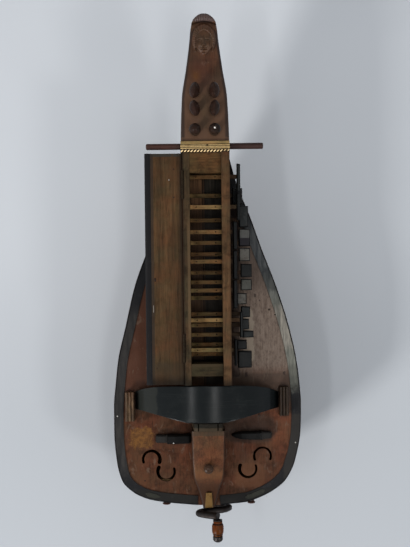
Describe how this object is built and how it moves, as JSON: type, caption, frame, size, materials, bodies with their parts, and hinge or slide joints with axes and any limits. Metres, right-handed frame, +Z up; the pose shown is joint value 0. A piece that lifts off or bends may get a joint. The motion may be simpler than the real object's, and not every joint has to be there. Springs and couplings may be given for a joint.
{
  "type": "hurdy-gurdy",
  "caption": "Lute-backed hurdy-gurdy with a crank, a wheel under a bent cover, an open key box with sliding keys, bridges and a carved head. It has no strings.",
  "frame": {"origin": "on the flat middle stave of the back that the instrument lies on, under the wheel's centre", "axes": "+Y from the tail with its crank to the head, +X to the side of the keys, +Z up out of the soundboard"},
  "size_m": [0.2487, 0.6808, 0.211],
  "materials": {
    "stave_wood": "varnished",
    "board_wood": "varnished",
    "inner_wood": "bare",
    "box_wood": "worn varnish",
    "head_wood": "dark varnish",
    "rod_wood": "polished",
    "block_wood": "worn",
    "black_paint": "black paint, worn",
    "bone": "polished bone",
    "peg_wood": "polished",
    "iron": "forged, blackened",
    "brass": "aged",
    "grip_wood": "polished",
    "wheel_wood": "smooth"
  },
  "bodies": {
    "body": {"back_shell": "stave_wood", "soundboard": "board_wood", "border_left": "black_paint", "border_right": "black_paint", "tail_block": "inner_wood", "neck_block": "inner_wood", "axle_brace": "inner_wood", "shaft_bush": "bone", "keybox_left_wall": "box_wood", "keybox_right_wall": "box_wood", "keybox_head_block": "box_wood", "keybox_tail_panel": "box_wood", "hinge_leaf_head": "brass", "hinge_leaf_tail": "brass", "pegbox": "head_wood", "nut_band": "bone", "cross_rod": "rod_wood", "cover_block_left": "block_wood", "cover_block_right": "block_wood", "bridge": "board_wood", "tailpiece": "board_wood", "tail_wedge": "bone", "trompette_bridge": "black_paint", "drone_bridge": "black_paint", "strap_button_left": "rod_wood", "strap_button_right": "rod_wood"},
    "wheel_shaft": {"wheel": "wheel_wood", "axle": "iron", "crank_arm": "iron"},
    "crank_grip": {"grip": "grip_wood"},
    "keybox_lid": {"lid": "box_wood", "lid_leaf_head": "brass", "lid_leaf_tail": "brass"},
    "cover": {"wheel_cover": "black_paint"},
    "key_upper_1_slider": {"key_upper_1": "black_paint"},
    "key_lower_1_slider": {"key_lower_1": "black_paint"},
    "key_upper_2_slider": {"key_upper_2": "black_paint"},
    "key_lower_2_slider": {"key_lower_2": "black_paint"},
    "key_upper_3_slider": {"key_upper_3": "black_paint"},
    "key_lower_3_slider": {"key_lower_3": "bone"},
    "key_lower_4_slider": {"key_lower_4": "bone"},
    "key_upper_4_slider": {"key_upper_4": "black_paint"},
    "key_lower_5_slider": {"key_lower_5": "black_paint"},
    "key_lower_6_slider": {"key_lower_6": "bone"},
    "key_upper_5_slider": {"key_upper_5": "black_paint"},
    "key_lower_7_slider": {"key_lower_7": "bone"},
    "key_lower_8_slider": {"key_lower_8": "black_paint"},
    "key_upper_6_slider": {"key_upper_6": "black_paint"},
    "key_lower_9_slider": {"key_lower_9": "black_paint"},
    "key_lower_10_slider": {"key_lower_10": "black_paint"},
    "key_lower_11_slider": {"key_lower_11": "black_paint"},
    "key_upper_7_slider": {"key_upper_7": "black_paint"},
    "key_lower_12_slider": {"key_lower_12": "black_paint"},
    "peg_low_left_turner": {"peg_low_left": "peg_wood"},
    "peg_low_right_turner": {"peg_low_right": "peg_wood"},
    "peg_middle_left_turner": {"peg_middle_left": "peg_wood"},
    "peg_middle_right_turner": {"peg_middle_right": "peg_wood"},
    "peg_high_left_turner": {"peg_high_left": "peg_wood"},
    "peg_high_right_turner": {"peg_high_right": "peg_wood"},
    "tirant_turner": {"tirant_peg": "peg_wood"}
  },
  "joints": [
    {"name": "crank_turn", "type": "hinge", "parent": "body", "child": "wheel_shaft", "pos_m": [0, 0, 0.091], "axis": [0, 1, 0], "continuous": true},
    {"name": "grip_spin", "type": "hinge", "parent": "wheel_shaft", "child": "crank_grip", "pos_m": [0.011, -0.1546, 0.151], "axis": [0, 1, 0], "continuous": true},
    {"name": "lid_hinge", "type": "hinge", "parent": "body", "child": "keybox_lid", "pos_m": [-0.0295, 0, 0.18315], "axis": [0, 1, 0], "range_deg": [0, 180]},
    {"name": "cover_lift", "type": "slide", "parent": "body", "child": "cover", "axis": [0, 0, 1], "range_m": [0, 0.06]},
    {"name": "key_upper_1_press", "type": "slide", "parent": "body", "child": "key_upper_1_slider", "axis": [-1, 0, 0], "range_m": [0, 0.005]},
    {"name": "key_lower_1_press", "type": "slide", "parent": "body", "child": "key_lower_1_slider", "axis": [-1, 0, 0], "range_m": [0, 0.003]},
    {"name": "key_upper_2_press", "type": "slide", "parent": "body", "child": "key_upper_2_slider", "axis": [-1, 0, 0], "range_m": [0, 0.005]},
    {"name": "key_lower_2_press", "type": "slide", "parent": "body", "child": "key_lower_2_slider", "axis": [-1, 0, 0], "range_m": [0, 0.005]},
    {"name": "key_upper_3_press", "type": "slide", "parent": "body", "child": "key_upper_3_slider", "axis": [-1, 0, 0], "range_m": [0, 0.003]},
    {"name": "key_lower_3_press", "type": "slide", "parent": "body", "child": "key_lower_3_slider", "axis": [-1, 0, 0], "range_m": [0, 0.005]},
    {"name": "key_lower_4_press", "type": "slide", "parent": "body", "child": "key_lower_4_slider", "axis": [-1, 0, 0], "range_m": [0, 0.005]},
    {"name": "key_upper_4_press", "type": "slide", "parent": "body", "child": "key_upper_4_slider", "axis": [-1, 0, 0], "range_m": [0, 0.003]},
    {"name": "key_lower_5_press", "type": "slide", "parent": "body", "child": "key_lower_5_slider", "axis": [-1, 0, 0], "range_m": [0, 0.005]},
    {"name": "key_lower_6_press", "type": "slide", "parent": "body", "child": "key_lower_6_slider", "axis": [-1, 0, 0], "range_m": [0, 0.005]},
    {"name": "key_upper_5_press", "type": "slide", "parent": "body", "child": "key_upper_5_slider", "axis": [-1, 0, 0], "range_m": [0, 0.003]},
    {"name": "key_lower_7_press", "type": "slide", "parent": "body", "child": "key_lower_7_slider", "axis": [-1, 0, 0], "range_m": [0, 0.005]},
    {"name": "key_lower_8_press", "type": "slide", "parent": "body", "child": "key_lower_8_slider", "axis": [-1, 0, 0], "range_m": [0, 0.005]},
    {"name": "key_upper_6_press", "type": "slide", "parent": "body", "child": "key_upper_6_slider", "axis": [-1, 0, 0], "range_m": [0, 0.005]},
    {"name": "key_lower_9_press", "type": "slide", "parent": "body", "child": "key_lower_9_slider", "axis": [-1, 0, 0], "range_m": [0, 0.005]},
    {"name": "key_lower_10_press", "type": "slide", "parent": "body", "child": "key_lower_10_slider", "axis": [-1, 0, 0], "range_m": [0, 0.005]},
    {"name": "key_lower_11_press", "type": "slide", "parent": "body", "child": "key_lower_11_slider", "axis": [-1, 0, 0], "range_m": [0, 0.005]},
    {"name": "key_upper_7_press", "type": "slide", "parent": "body", "child": "key_upper_7_slider", "axis": [-1, 0, 0], "range_m": [0, 0.003]},
    {"name": "key_lower_12_press", "type": "slide", "parent": "body", "child": "key_lower_12_slider", "axis": [-1, 0, 0], "range_m": [0, 0.005]},
    {"name": "peg_low_left_turn", "type": "hinge", "parent": "body", "child": "peg_low_left_turner", "pos_m": [-0.01239, 0.34839, 0.183], "axis": [0, 0, 1], "continuous": true},
    {"name": "peg_low_right_turn", "type": "hinge", "parent": "body", "child": "peg_low_right_turner", "pos_m": [0.01239, 0.34839, 0.183], "axis": [0, 0, 1], "continuous": true},
    {"name": "peg_middle_left_turn", "type": "hinge", "parent": "body", "child": "peg_middle_left_turner", "pos_m": [-0.01239, 0.37466, 0.183], "axis": [0, 0, 1], "continuous": true},
    {"name": "peg_middle_right_turn", "type": "hinge", "parent": "body", "child": "peg_middle_right_turner", "pos_m": [0.01239, 0.37466, 0.183], "axis": [0, 0, 1], "continuous": true},
    {"name": "peg_high_left_turn", "type": "hinge", "parent": "body", "child": "peg_high_left_turner", "pos_m": [-0.01239, 0.39708, 0.183], "axis": [0, 0, 1], "continuous": true},
    {"name": "peg_high_right_turn", "type": "hinge", "parent": "body", "child": "peg_high_right_turner", "pos_m": [0.01239, 0.39708, 0.183], "axis": [0, 0, 1], "continuous": true},
    {"name": "tirant_turn", "type": "hinge", "parent": "body", "child": "tirant_turner", "pos_m": [0, -0.08377, 0.159], "axis": [0, 0, 1], "continuous": true}
  ]
}
